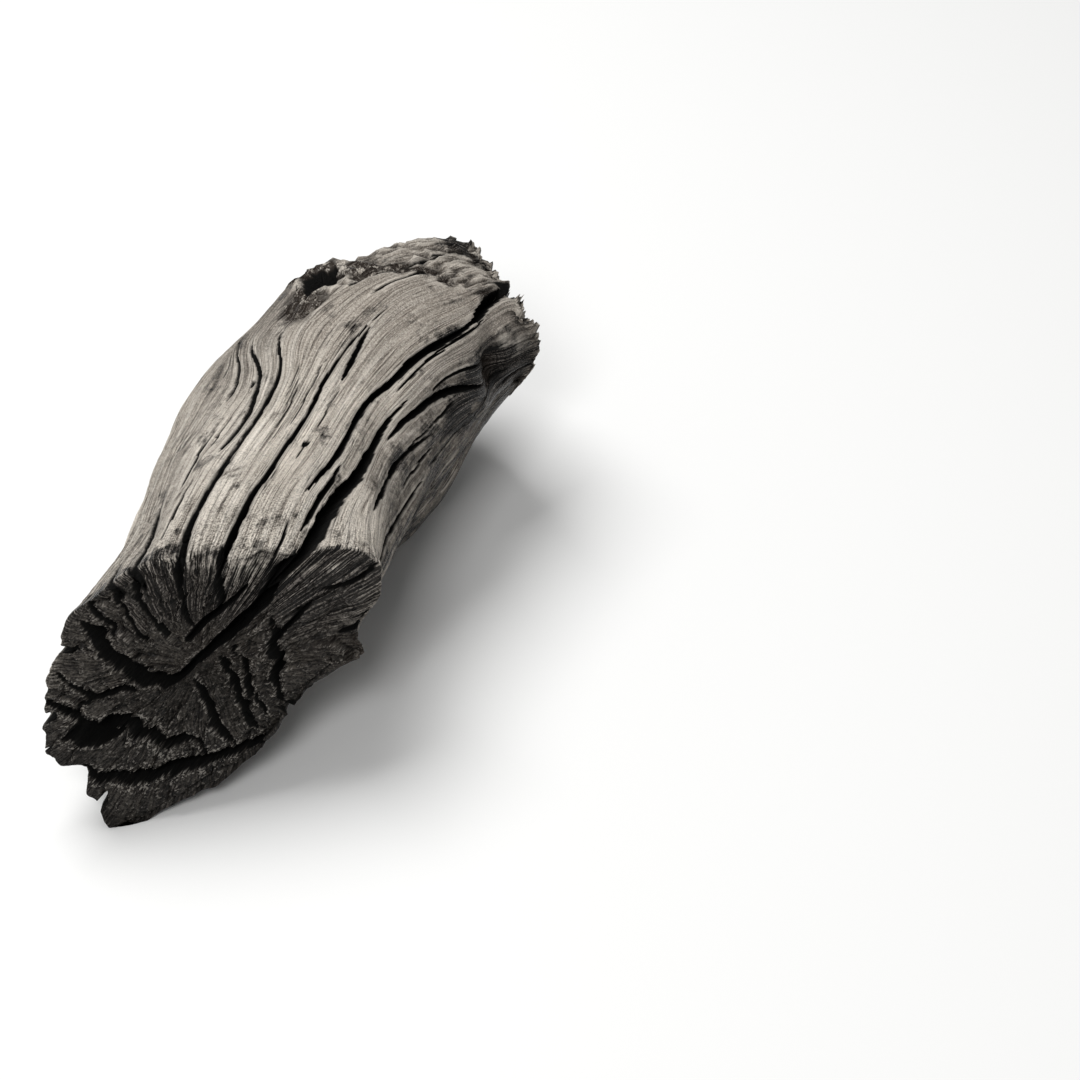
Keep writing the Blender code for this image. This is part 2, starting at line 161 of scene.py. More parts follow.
# checks of the cut face: path of (share of the radius, angle), width, depth
faceChecks = {
    "greatLeft": (
        ((0.90, 148), (0.77, 152), (0.63, 160), (0.51, 169), (0.39, 181), (0.28, 195), (0.20, 215),
         (0.06, 215)),
        5.6, 12,
    ),
    "greatRight": (
        ((0.14, 222), (0.08, 70), (0.19, 54), (0.29, 51), (0.52, 51), (0.68, 53), (0.80, 57), (0.89, 53),
         (1.08, 51)),
        3.8, 11,
    ),
    "shortRight": (((0.22, 122), (0.26, 109), (0.40, 89), (0.54, 75), (0.70, 68)), 2.0, 6),
    "rib1": (((1.08, 118), (0.86, 123), (0.56, 125), (0.35, 126)), 1.8, 6),
    "rib2": (((1.08, 102), (0.90, 105), (0.69, 105), (0.37, 99)), 1.8, 6),
    "rib3": (((1.08, 86), (0.91, 87), (0.67, 81), (0.50, 77)), 1.5, 5),
    "rib0": (((1.08, 128), (0.86, 132), (0.61, 138), (0.43, 143)), 1.7, 5),
    "rimLeft": (((1.08, 139), (0.92, 141), (0.76, 144), (0.62, 150)), 1.4, 4),
    "fanA": (((0.11, 10), (0.32, 321), (0.57, 306), (0.84, 301)), 2.9, 8),
    "fanB": (((0.12, 260), (0.33, 281), (0.62, 288), (0.83, 291)), 2.5, 8),
    "fanC": (((0.18, 23), (0.34, 340), (0.48, 323), (0.82, 309)), 2.1, 7),
    "fanD": (((0.44, 34), (0.43, 8), (0.65, 333), (0.84, 318)), 2.6, 8),
    "low1": (
        ((1.06, 186), (0.89, 190), (0.77, 202), (0.67, 213), (0.58, 231), (0.47, 250), (0.52, 267),
         (0.68, 278)),
        3.1, 10,
    ),
    "low2": (
        ((1.08, 226), (0.92, 233), (0.77, 244), (0.67, 256), (0.73, 269), (0.79, 282), (0.92, 295),
         (1.02, 301)),
        3.6, 11,
    ),
    "left": (((0.93, 174), (0.78, 184), (0.66, 194), (0.50, 193), (0.39, 203)), 2.0, 6),
    "right1": (((0.62, 27), (0.56, 24), (0.46, 15), (0.44, 351)), 1.5, 4),
    "right2": (((1.04, 28), (0.86, 26), (0.72, 30)), 1.3, 3),
}
farChecks = {
    "right": (((0.12, 62), (0.50, 66), (1.08, 69)), 2.8, 7),
    "leftHigh": (((0.36, 160), (0.70, 158), (1.08, 157)), 2.2, 6),
    "leftLow": (((0.50, 206), (0.75, 207), (1.08, 206)), 2.0, 5),
    "under": (((0.30, 240), (0.65, 238), (1.08, 238)), 2.4, 6),
}

# places on the side: share, angle, half-length as a share, half-width in degrees
crumblingPlaces = (
    (0.695, 122, 0.035, 12), (0.765, 132, 0.036, 18), (0.800, 113, 0.030, 11), (0.845, 103, 0.022, 10),
    (0.870, 92, 0.020, 9), (0.886, 77, 0.014, 8), (0.0, 351, 0.03, 8), (0.935, 57, 0.02, 5),
    (0.865, 12, 0.032, 10),
)
sootPlaces = (
    (0.885, 8, 0.070, 18), (0.825, 20, 0.045, 11), (0.965, 118, 0.022, 40), (0.73, 11, 0.05, 8),
    (0.50, 28, 0.014, 5), (-0.055, 34, 0.025, 11), (0.809, 44.5, 0.03, 4), (0.67, 200, 0.05, 10),
    (0.30, 240, 0.08, 14),
)
stainPlaces = (
    (0.251, 120.5, 0.014, 4.5), (0.139, 81.5, 0.020, 6.5), (0.119, 66, 0.016, 6), (0.275, 98, 0.018, 9),
    (0.16, 93, 0.012, 3), (0.377, 33.5, 0.020, 4), (0.50, 29, 0.035, 8), (0.47, 32, 0.02, 5),
    (0.53, 22, 0.03, 6), (0.504, 54, 0.012, 4), (0.18, 39.5, 0.006, 2), (0.437, 9, 0.025, 6),
    (0.44, 92, 0.006, 2), (0.58, 62, 0.008, 2), (0.31, 118, 0.01, 3), (0.06, 24, 0.03, 9),
    (0.62, 24, 0.04, 8), (0.233, 4.5, 0.03, 7),
)

# small round holes: share, angle, radius, depth
pits = (
    (0.375, 69.5, 0.9, 2.5), (0.44, 92, 0.6, 1.5), (0.30, 112, 0.6, 1.2), (0.52, 118, 0.7, 1.6),
    (0.21, 68, 0.6, 1.2),
)
knothole = {
    "share": 0.757,
    "angle": 124.0,
    "length": 5.6,
    "width": 4.8,
    "depth": 9.0,
    "lip": 1.7,
    "lipAt": 1.25,      # where the lip is highest and how wide it is, in radii of the hole
    "lipWidth": 0.28,
}

# where the ribs break off in front of the far rim: angle, share
crownEdge = (
    (40, 0.99), (60, 0.945), (73, 0.890), (88, 0.874), (95, 0.868), (103, 0.838), (116, 0.824), (130, 0.81),
    (145, 0.84), (165, 0.93), (180, 0.99),
)


def ease(values, low, high):        # 0 at low, 1 at high, smooth between
    t = np.clip((values - low) / (high - low), 0.0, 1.0)
    return t * t * (3 - 2 * t)


def bell(distance, width):          # 1 in the middle, fading out on both sides
    return np.exp(-(distance / width) ** 2)


def curveThrough(before, start, end, after, t):
    slopeIn, slopeOut = (end - before) / 2, (after - start) / 2
    t2, t3 = t * t, t * t * t
    return ((2 * t3 - 3 * t2 + 1) * start + (t3 - 2 * t2 + t) * slopeIn
            + (3 * t2 - 2 * t3) * end + (t3 - t2) * slopeOut)


def readTable(places, values, at):  # a smooth curve through the table, straight on past its ends
    places, values = np.asarray(places, float), np.asarray(values, float)
    last = len(places) - 1
    i = np.clip(np.searchsorted(places[1:], at), 0, last - 1)
    t = (at - places[i]) / (places[i + 1] - places[i])
    if values.ndim > 1:
        t = t[:, None]
    start, end = values[i], values[i + 1]
    curved = curveThrough(values[np.maximum(i - 1, 0)], start, end, values[np.minimum(i + 2, last)], t)
    return np.where((t < 0) | (t > 1), start + (end - start) * t, curved)


def woodNoise(points, across, along, start=0.0):    # noise stretched along the grain, from -1 to 1
    spots = points / np.array([across, along, across]) + start
    return np.array([noise.noise(spot) for spot in spots])


blockScatter = 57.0     # spreads the blocks' own places over the cells that give their heights


def chips(spots, tilt):     # blocks of a broken surface: the way to the next block, and the block's height
    gaps, heights = np.empty(len(spots)), np.empty(len(spots))
    for i, spot in enumerate(spots):
        away, places = noise.voronoi(spot)
        own = noise.cell_vector(places[0] * blockScatter)
        slope = (own[1] - 0.5) * (spot[0] - places[0][0]) + (own[2] - 0.5) * (spot[1] - places[0][1])
        gaps[i] = away[1] - away[0]
        heights[i] = own[0] - 0.5 + tilt * slope
    return gaps, heights


def flatChips(x, z, size, tilt):
    return chips(np.stack([x / size, z / size, z * 0 + 0.5], 1), tilt)


def gapShare(gaps, width):      # 1 in the gap between two blocks, 0 on them
    return np.clip(1 - gaps / width, 0, 1)


def angleFrom(angle, other):
    return (angle - other + turn / 2) % turn - turn / 2


sectionShares = [row[0] for row in sections]


def pithAt(share):
    return readTable(sectionShares, [row[1] for row in sections], share)


def leanAt(share):
    return readTable(sectionShares, [row[2] for row in sections], np.clip(share, 0, 1))


def plainRadius(angle, share):
    held = np.clip(share, 0, 1)
    radii = readTable(sectionShares, [row[3] for row in sections], held)
    step = turn / lump["spokes"]
    i = (angle // step).astype(int) % lump["spokes"]
    t = (angle % turn) / step - i
    row = np.arange(len(angle))
    corners = [radii[row, (i + k) % lump["spokes"]] for k in (-1, 0, 1, 2)]
    radius = curveThrough(*corners, t)
    for place, at, halfLength, halfWidth, height in swellings.values():
        off = angleFrom(angle, at) / halfWidth
        radius = radius + height * np.exp(-off * off - ((held - place) / halfLength) ** 2)
    return radius


def frontRadius(angle):
    return plainRadius(angle, np.zeros(len(angle)))


def farRadius(angle):
    return plainRadius(angle, np.ones(len(angle)))


def longWaves(angle, share, radius):
    turned = np.radians(angle)
    x, y, z = np.cos(turned) * radius, pithAt(share)[:, 1], np.sin(turned) * radius
    total = np.zeros(len(angle))
    for wave in (waves["broad"], waves["knobble"]):
        spots = np.stack([x / wave["across"], y / wave["along"], z / wave["across"]], 1) + waves["start"]
        total += wave["height"] * np.array([noise.noise(spot) for spot in spots])
    return total


# how the grain runs: each check pulls the columns beside it along its own path
grain = {"pullWidth": 15.0, "pullFade": 0.14, "hold": 0.12}


def grainAngle(column, share):
    pull = np.zeros(len(column))
    weight = np.full(len(column), grain["hold"])
    for path, _, _ in sideChecks.values():
        places, angles = zip(*path)
        middle = float(np.mean(readTable(places, angles, np.linspace(places[0], places[-1], 9))))
        held = np.clip(share, places[0], places[-1])
        outside = np.abs(share - held) / grain["pullFade"]
        near = np.exp(-(angleFrom(column, middle) / grain["pullWidth"]) ** 2 - outside ** 2)
        pull += near * (readTable(places, angles, held) - middle)
        weight += near
    return column + pull / weight


def checkShape(across, half, fullness):
    inside = np.clip(1 - np.abs(across) / np.maximum(half, 0.05), 0, 1)
    return fullness * (1 - (1 - inside) ** 3.0)


def fullnessAt(t):      # pointed at both ends
    return np.clip(t / 0.14, 0, 1) ** 0.6 * np.clip((1 - t) / 0.24, 0, 1) ** 0.75


def asWood(column, share, out):     # the grain runs along the side, over the rim and on to the pith
    turned = np.radians(column)
    across = lump["woodRadius"] * np.clip(out / lump["pithShare"], 0, 1)
    along = share * lump["woodLength"] + np.where(share < 0.5, -1, 1) * (1 - out) * lump["woodRadius"]
    return np.stack([across * np.cos(turned), along, across * np.sin(turned)], 1)


# how a check's edges wander, and how far each of its parts reaches
wander = {"sideways": 0.60, "every": 16.0, "ragged": 0.30, "raggedEvery": 4.5, "fray": 0.3, "frayEvery": 1.3}
checkReach = {"share": 0.05, "widths": 3, "beside": 12, "mouth": 0.8, "least": 0.1}

smallChecks = {
    "count": 90,
    "seed": 7,
    "calm": (86, 24, 0.35),
    "calmShares": (0.1, 0.8),   # from where to where along the length the top is smooth
    "start": (-0.04, 0.95),
    "length": (0.05, 0.20),
    "width": (0.4, 0.85),
    "depth": (1.0, 2.8),
    "lean": 10,                 # degrees that a check may turn across the grain
    "reach": 9,                 # degrees beside it that are looked at
}


def sideCheckDepth(angle, share, radius):
    depth = np.zeros(len(angle))
    drop = np.zeros(len(angle))
    mouth = np.zeros(len(angle))        # 1 inside a check, fading out beside it
    length = share * lump["woodLength"]
    for number, (path, widths, deep) in enumerate(sideChecks.values()):
        places, angles = zip(*path)
        first, last = places[0] - checkReach["share"], places[-1] + checkReach["share"]
        near = np.nonzero((share > first) & (share < last))[0]
        apart = np.radians(angleFrom(angle[near], readTable(places, angles, share[near]))) * radius[near]
        close = np.abs(apart) < checkReach["widths"] * max(widths) + checkReach["beside"]
        near, apart = near[close], apart[close]
        lane = np.full(len(near), number * 7.3)
        line = np.stack([lane, length[near], lane], 1)
        apart = apart + wander["sideways"] * woodNoise(line, 1.0, wander["every"])
        t = (share[near] - places[0]) / (places[-1] - places[0])
        width = readTable((0, 0.5, 1), widths, np.clip(t, 0, 1))
        fullness = fullnessAt(t)
        reach = groove["reach"] * width + groove["margin"]
        drop[near] = np.maximum(drop[near], groove["drop"] * width ** 0.6 * fullness * bell(apart, reach))
        ragged = woodNoise(line, 1.0, wander["raggedEvery"], 3.3)
        ragged = ragged + wander["fray"] * woodNoise(line, 1.0, wander["frayEvery"], 5.1)
        half = width / 2 * fullness * (1 + wander["ragged"] * ragged) + checkReach["least"] * fullness
        depth[near] = np.maximum(depth[near], deep * checkShape(apart, half, fullness ** 0.7))
        beside = fullness * bell(np.maximum(np.abs(apart) - half, 0), checkReach["mouth"])
        mouth[near] = np.maximum(mouth[near], beside)
    return depth, drop, mouth


def smallCheckDepth(column, share, radius):
    rng = np.random.default_rng(smallChecks["seed"])
    calmAt, calmSpread, calmLeft = smallChecks["calm"]
    calmFrom, calmTo = smallChecks["calmShares"]
    depth = np.zeros(len(column))
    for number in range(smallChecks["count"]):
        at, begin = rng.uniform(0, turn), rng.uniform(*smallChecks["start"])
        long = rng.uniform(*smallChecks["length"])
        width, deep = rng.uniform(*smallChecks["width"]), rng.uniform(*smallChecks["depth"])
        lean = rng.uniform(-smallChecks["lean"], smallChecks["lean"])
        if abs(angleFrom(at, calmAt)) < calmSpread and calmFrom < begin + long / 2 < calmTo:
            width, deep = width * calmLeft ** 0.5, deep * calmLeft
        t = (share - begin) / long
        near = np.nonzero((t > 0) & (t < 1) & (np.abs(angleFrom(column, at)) < smallChecks["reach"]))[0]
        lane = np.full(len(near), number * 3.1)
        line = np.stack([lane, share[near] * lump["woodLength"], lane], 1)
        centre = at + lean * (t[near] - 0.5) * long + woodNoise(line, 1.0, 7.0)
        apart = np.radians(angleFrom(column[near], centre)) * radius[near]
        fullness = fullnessAt(t[near])
        depth[near] = np.maximum(depth[near], deep * checkShape(apart, width / 2 * fullness, fullness))
    return depth


# fine relief along the grain: height, size across, size along
grainRelief = {
    "ribs": (0.42, 7.5, 120.0),
    "ridges": (0.20, 2.3, 110.0),
    "lines": (0.22, 1.0, 80.0),
    "crumbs": (0.16, 1.4, 2.6),
}


def sideRelief(wood):
    total = np.zeros(len(wood))
    for number, (height, across, along) in enumerate(grainRelief.values()):
        total += height * woodNoise(wood, across, along, 3.7 * number)
    return total


def blobs(angle, share, places):
    total = np.zeros(len(angle))
    for place, at, halfLength, halfWidth in places:
        off = (angleFrom(angle, at) / halfWidth) ** 2 + ((share - place) / halfLength) ** 2
        total = np.maximum(total, np.exp(-off))
    return total


def pitDepth(angle, share, radius):
    depth = np.zeros(len(angle))
    for place, at, wide, deep in pits:
        across = np.radians(angleFrom(angle, at)) * radius
        away = np.hypot(across, (share - place) * lump["woodLength"]) / wide
        depth = np.maximum(depth, deep * np.sqrt(np.clip(1 - away * away, 0, 1)))
    return depth


def knotholeShape(angle, share, radius, wood):
    across = np.radians(angleFrom(angle, knothole["angle"])) * radius / knothole["width"]
    along = (share - knothole["share"]) * lump["woodLength"] / knothole["length"]
    away = np.hypot(across, along)
    near = away < 2 * knothole["lipAt"]
    away[near] += 0.5 * woodNoise(wood[near], 3.0, 3.0) + 0.25 * woodNoise(wood[near], 1.2, 1.2)
    hole = knothole["depth"] * (1 - np.clip(away, 0, 1) ** 2.4)
    return hole, knothole["lip"] * bell(away - knothole["lipAt"], knothole["lipWidth"])


def smoothPath(path, steps):
    places = np.linspace(0, 1, len(path))
    return readTable(places, path, np.linspace(0, 1, steps))


# how far the cracks of an end jog to the side, and how often, and how uneven their width is
jog = {"wide": 0.4, "every": 5.5, "fine": 0.16, "fineEvery": 1.6, "width": 0.4, "widthEvery": 3.2}


def endCheckDepth(x, z, leans, checks, radiusAt, start):
    def evenNoise(size, place):
        return woodNoise(flatSpots, size, size, start + place)

    flatSpots = np.stack([x, z * 0, z], 1)
    jx = x + jog["wide"] * evenNoise(jog["every"], 0) + jog["fine"] * evenNoise(jog["fineEvery"], 4)
    jz = z + jog["wide"] * evenNoise(jog["every"], 9) + jog["fine"] * evenNoise(jog["fineEvery"], 13)
    spots = np.stack([jx, leans[0] * jx + leans[1] * jz, jz], 1)
    rough = evenNoise(jog["widthEvery"], 5)
    depth = np.zeros(len(x))
    drop = np.zeros(len(x))
    for path, width, deep in checks.values():
        flat = [(out * math.cos(math.radians(a)), out * math.sin(math.radians(a))) for out, a in path]
        course = smoothPath(flat, 26)
        radius = radiusAt(np.degrees(np.arctan2(course[:, 1], course[:, 0])) % turn)
        cx, cz = course[:, 0] * radius, course[:, 1] * radius
        line = np.stack([cx, leans[0] * cx + leans[1] * cz, cz], 1)
        best = np.full(len(x), 99.0)
        place = np.zeros(len(x))
        for k in range(len(line) - 1):
            step = line[k + 1] - line[k]
            t = np.clip(((spots - line[k]) @ step) / (step @ step), 0, 1)
            away = np.linalg.norm(spots - line[k] - t[:, None] * step, axis=1)
            place = np.where(away < best, (k + t) / (len(line) - 1), place)
            best = np.minimum(best, away)
        fullness = np.sin(np.pi * (0.04 + 0.90 * place)) ** 0.6
        half = width / 2 * fullness * (1 + jog["width"] * rough)
        depth = np.maximum(depth, deep * checkShape(best, half, fullness))
        drop = np.maximum(drop, groove["faceDrop"] * width * bell(best, groove["reach"] * width))
    return depth, drop


# the cut face: plates along its rays, then ever smaller chips
frontFace = {
    "roughness": 1.6,
    "lumps": 3.2,
    "rimBack": 1.2,
    "start": 0.4,
    "plates": {"angle": 15.0, "out": 3.2, "bend": 9, "height": 1.9, "gap": 1.3},
    "chips": {"size": 4.6, "height": 0.5, "gap": 0.5},
    "flakes": {"size": 1.7, "height": 0.24},
    "chipTilt": 2.5,
    "gapWidth": 0.06,
    "rays": {"angle": 2.6, "out": 2.2, "height": 0.22, "finer": 2.3, "fineHeight": 0.12},
    "grit": {"size": 1.3, "height": 0.20},
}
wormHole = {
    "radiusShare": 0.73,
    "angle": 216.0,
    "radius": 4.3,
    "depth": 9,
    "across": 0.8,      # below 1 it is wider than the radius
    "up": 1.2,
    "ragged": 0.4,
}

# the broken end: splinters in steps, and blocks in three sizes
splinters = {"height": 7.0, "grain": 8.0, "step": 2.4, "spread": 24, "start": 5.5}
blocks = {
    "large": {"size": 6.5, "tilt": 1.5, "height": 5.0, "range": (-0.2, 0.5), "gap": 2.5, "gapWidth": 0.10},
    "middle": {"size": 2.8, "tilt": 1.0, "height": 3.2, "gap": 1.4, "gapWidth": 0.12},
    "small": {"size": 1.2, "tilt": 1.0, "height": 1.6},
}


def discNoise(angle, out, spread, start):
    turned = np.radians(angle)
    x, z = np.cos(turned) * out * spread, np.sin(turned) * out * spread
    return np.array([noise.noise(spot) for spot in np.stack([x, np.full(len(out), start), z], 1)])


def frontPlates(angle, out, x, z, flat):
    plates, large, small = frontFace["plates"], frontFace["chips"], frontFace["flakes"]
    tilt, gapWidth = frontFace["chipTilt"], frontFace["gapWidth"]
    bend = angle + plates["bend"] * woodNoise(flat, 7.0, 7.0, 2.2)
    gaps, heights = chips(np.stack([bend / plates["angle"], out * plates["out"], out * 0 + 0.5], 1), 2.0)
    back = plates["height"] * heights * ease(out, 0.05, 0.3)
    back += plates["gap"] * gapShare(gaps, gapWidth) * ease(out, 0.06, 0.2)
    gaps, heights = flatChips(x, z, large["size"], tilt)
    back += large["height"] * heights + large["gap"] * gapShare(gaps, gapWidth)
    gaps, heights = flatChips(x, z, small["size"], tilt)
    return back + small["height"] * heights


def wormHoleDepth(x, z, flat):
    at = math.radians(wormHole["angle"])
    radius = frontRadius(np.array([wormHole["angle"]]))[0] * wormHole["radiusShare"]
    across = (x - radius * math.cos(at)) * wormHole["across"]
    up = (z - radius * math.sin(at)) * wormHole["up"]
    away = np.hypot(across, up) / wormHole["radius"]
    away = away + wormHole["ragged"] * woodNoise(flat, 2.5, 2.5, 8.0)
    return wormHole["depth"] * np.sqrt(np.clip(1 - away * away, 0, 1))


def frontRelief(angle, out, x, z):      # how far the cut face falls back, and how deep it is checked
    flat = np.stack([x, z * 0, z], 1)
    depth, drop = endCheckDepth(x, z, sections[0][2], faceChecks, frontRadius, 1.3)
    back = frontFace["roughness"] * discNoise(angle, out, frontFace["lumps"], frontFace["start"])
    back += frontFace["rimBack"] * out * out
    back += frontPlates(angle, out, x, z, flat)
    fan, grit = frontFace["rays"], frontFace["grit"]
    rays = np.stack([angle / fan["angle"], out * fan["out"], out * 0 + 0.3], 1)
    lines = fan["height"] * woodNoise(rays, 1.0, 1.0)
    lines += fan["fineHeight"] * woodNoise(rays * fan["finer"], 1.0, 1.0, 4.0)
    back += lines * ease(out, 0.1, 0.4)
    back += grit["height"] * woodNoise(flat, grit["size"], grit["size"], 6.0)
    return back + drop, np.maximum(depth, wormHoleDepth(x, z, flat))


def farDrop(angle, out, x, z):          # how far the broken end falls back, and how deep it is checked
    depth, drop = endCheckDepth(x, z, sections[-1][2], farChecks, farRadius, 6.1)
    uneven = discNoise(angle, out, splinters["spread"] / splinters["grain"], splinters["start"])
    steps = splinters["height"] * (0.5 + 0.9 * uneven) / splinters["step"]
    riser = np.clip((steps % 1 - 0.5) * 4 + 0.5, 0, 1)
    fall = (np.floor(steps) + riser) * splinters["step"]
    for sort in blocks.values():
        gaps, heights = flatChips(x, z, sort["size"], sort["tilt"])
        lift = np.clip(heights, *sort["range"]) if "range" in sort else heights + 0.5
        fall += sort["height"] * lift
        if "gap" in sort:
            fall += sort["gap"] * gapShare(gaps, sort["gapWidth"])
    return fall + drop, depth


def placeOnLump(ring, column):      # shares of the length and of the radius, and how far round the front rim
    face, rimEnd = lump["faceRings"], lump["faceRings"] + lump["rimRings"]
    sideEnd = rimEnd + lump["sideRows"]
    farRimEnd = sideEnd + lump["farRimRings"]
    onTop = bell(angleFrom(column, rim["top"]), rim["spread"])
    rimShare = rim["share"][0] + (rim["share"][1] - rim["share"][0]) * onTop
    rimRound = rim["round"][0] + (rim["round"][1] - rim["round"][0]) * onTop
    share, out, around = np.zeros(len(ring)), np.ones(len(ring)), np.zeros(len(ring))
    k = ring + 1.0
    part = ring < face
    out[part] = (1 - rimRound[part]) * k[part] / face
    part = (ring >= face) & (ring < rimEnd)
    a = math.pi / 2 * (k[part] - face) / lump["rimRings"]
    share[part] = rimShare[part] * (1 - np.cos(a))
    out[part] = 1 - rimRound[part] * (1 - np.sin(a))
    around[part] = (k[part] - face) / lump["rimRings"]
    part = (ring >= rimEnd) & (ring < sideEnd)
    t = ((k[part] - rimEnd) / lump["sideRows"]) ** lump["rowSpread"]
    share[part] = rimShare[part] + (lump["farShare"] - rimShare[part]) * t
    around[ring >= rimEnd] = 1.0
    part = (ring >= sideEnd) & (ring < farRimEnd)
    a = math.pi / 2 * (k[part] - sideEnd) / lump["farRimRings"]
    share[part] = lump["farShare"] + (1 - lump["farShare"]) * np.sin(a)
    out[part] = 1 - lump["farRound"] * (1 - np.cos(a))
    part = ring >= farRimEnd
    share[part] = 1.0
    out[part] = (1 - lump["farRound"]) * (1 - (k[part] - farRimEnd) / (lump["farRings"] + 1))
    return share, out, around


def sphereOfRings(name):
    rings = sum(lump[part] for part in ("faceRings", "rimRings", "sideRows", "farRimRings", "farRings"))
    mesh = bmesh.new()
    bmesh.ops.create_uvsphere(mesh, u_segments=lump["columns"], v_segments=rings + 1, radius=1)
    data = bpy.data.meshes.new(name)
    mesh.to_mesh(data)
    mesh.free()
    return data, rings


def ringsOf(data, rings):       # each point's ring and column, and the points in rows, one row for each ring
    ball = np.empty(len(data.vertices) * 3)
    data.vertices.foreach_get("co", ball)
    ball = ball.reshape(-1, 3)
    latitude = np.arctan2(np.hypot(ball[:, 0], ball[:, 1]), -ball[:, 2]) / math.pi
    ring = np.rint(latitude * (rings + 1)).astype(int) - 1
    column = np.degrees(np.arctan2(ball[:, 1], ball[:, 0])) % turn
    onRing = np.nonzero((ring >= 0) & (ring < rings))[0]
    place = np.rint(column[onRing] * lump["columns"] / turn) % lump["columns"]
    inRows = onRing[np.lexsort((place, ring[onRing]))].reshape(rings, lump["columns"])
    return ring, column, inRows


def crumbledWood(angle, share, wood, soot):     # how crumbled each point is, and the height of its crumbs
    crumb = 1.25 * blobs(angle, share, crumblingPlaces) + 0.25 * woodNoise(wood, 2.5, 4.0, 9.0)
    crumb = ease(np.clip(crumb, 0, 1), 0.25, 0.8)
    rough = np.nonzero(crumb + soot > 0.02)[0]
    gnaw = np.zeros(len(angle))
    gnaw[rough] = woodNoise(wood[rough], 3.2, 4.6, 1.1) + 0.7 * woodNoise(wood[rough], 1.4, 1.6, 7.1)
    return crumb, crumb * (1.5 * gnaw - 0.5)


crown = {"rough": 1.7, "drop": 2.0, "dropReach": 0.03}


def brokenCrown(angle, share, wood):    # 1 where the ribs have broken off, and the rough wood below them
    angles, shares = zip(*crownEdge)
    edge = readTable(angles, shares, np.clip(angle, angles[0], angles[-1]))
    edge = edge + 0.012 * woodNoise(wood, 3.0, 40.0, 5.0) + 0.007 * woodNoise(wood, 1.2, 20.0, 6.0)
    beyond = ease(share, edge - 0.004, edge + 0.006) * ((angle > angles[0]) & (angle < angles[-1]))
    rows = np.nonzero(beyond > 0)[0]
    rough = np.zeros(len(angle))
    rough[rows] = woodNoise(wood[rows], 3.4, 3.0, 2.0) + 0.6 * woodNoise(wood[rows], 1.3, 1.2, 4.0)
    drop = crown["drop"] * np.exp(-np.maximum(share - edge, 0) / crown["dropReach"])
    return beyond, rough, beyond * (crown["rough"] * rough - drop)


# the cut end's rim is ragged: height, size across and along the grain, and how far it goes
raggedRim = {"height": 0.9, "across": 3.2, "along": 14.0, "fade": 0.06, "end": 0.16}


def fitToSolid(points):     # as long and wide as the solid, and at most a little taller
    low, high = points.min(0), points.max(0)
    size = np.array(cadBox[1]) - np.array(cadBox[0])
    size[2] = min(size[2] + lump["taller"] * mm, high[2] * mm)
    return (points - low) / (high - low) * size + np.array(cadBox[0])


def placesInShade(angle, share):        # how dark the ash is, from 0 to 1
    turned = angleFrom(angle, 0)
    leftEdge = 0.48 * bell(angleFrom(angle, 137), 25)
    lowerRight = 0.62 * ease(-turned, -12, 8) * (turned > -150)
    backOfRight = 0.75 * bell(angleFrom(angle, 17), 18) * ease(share, 0.25, 0.42)
    return np.clip(leftEdge + lowerRight + backOfRight, 0, 1)


def alongFromRim(angle, along, low):    # the way from the rim, changed where the ash ends sooner or later
    left = 9.0 * bell(angleFrom(angle, 138), 26)
    below = 16.0 * low
    rightRib = 13.0 * bell(angleFrom(angle, 33), 20) * bell(along - 6.0, 7.0)
    rightFace = 8.0 * bell(angleFrom(angle, 30), 24) * ease(-along, 0.0, 8.0)
    return along - left - below + (rightFace - rightRib)


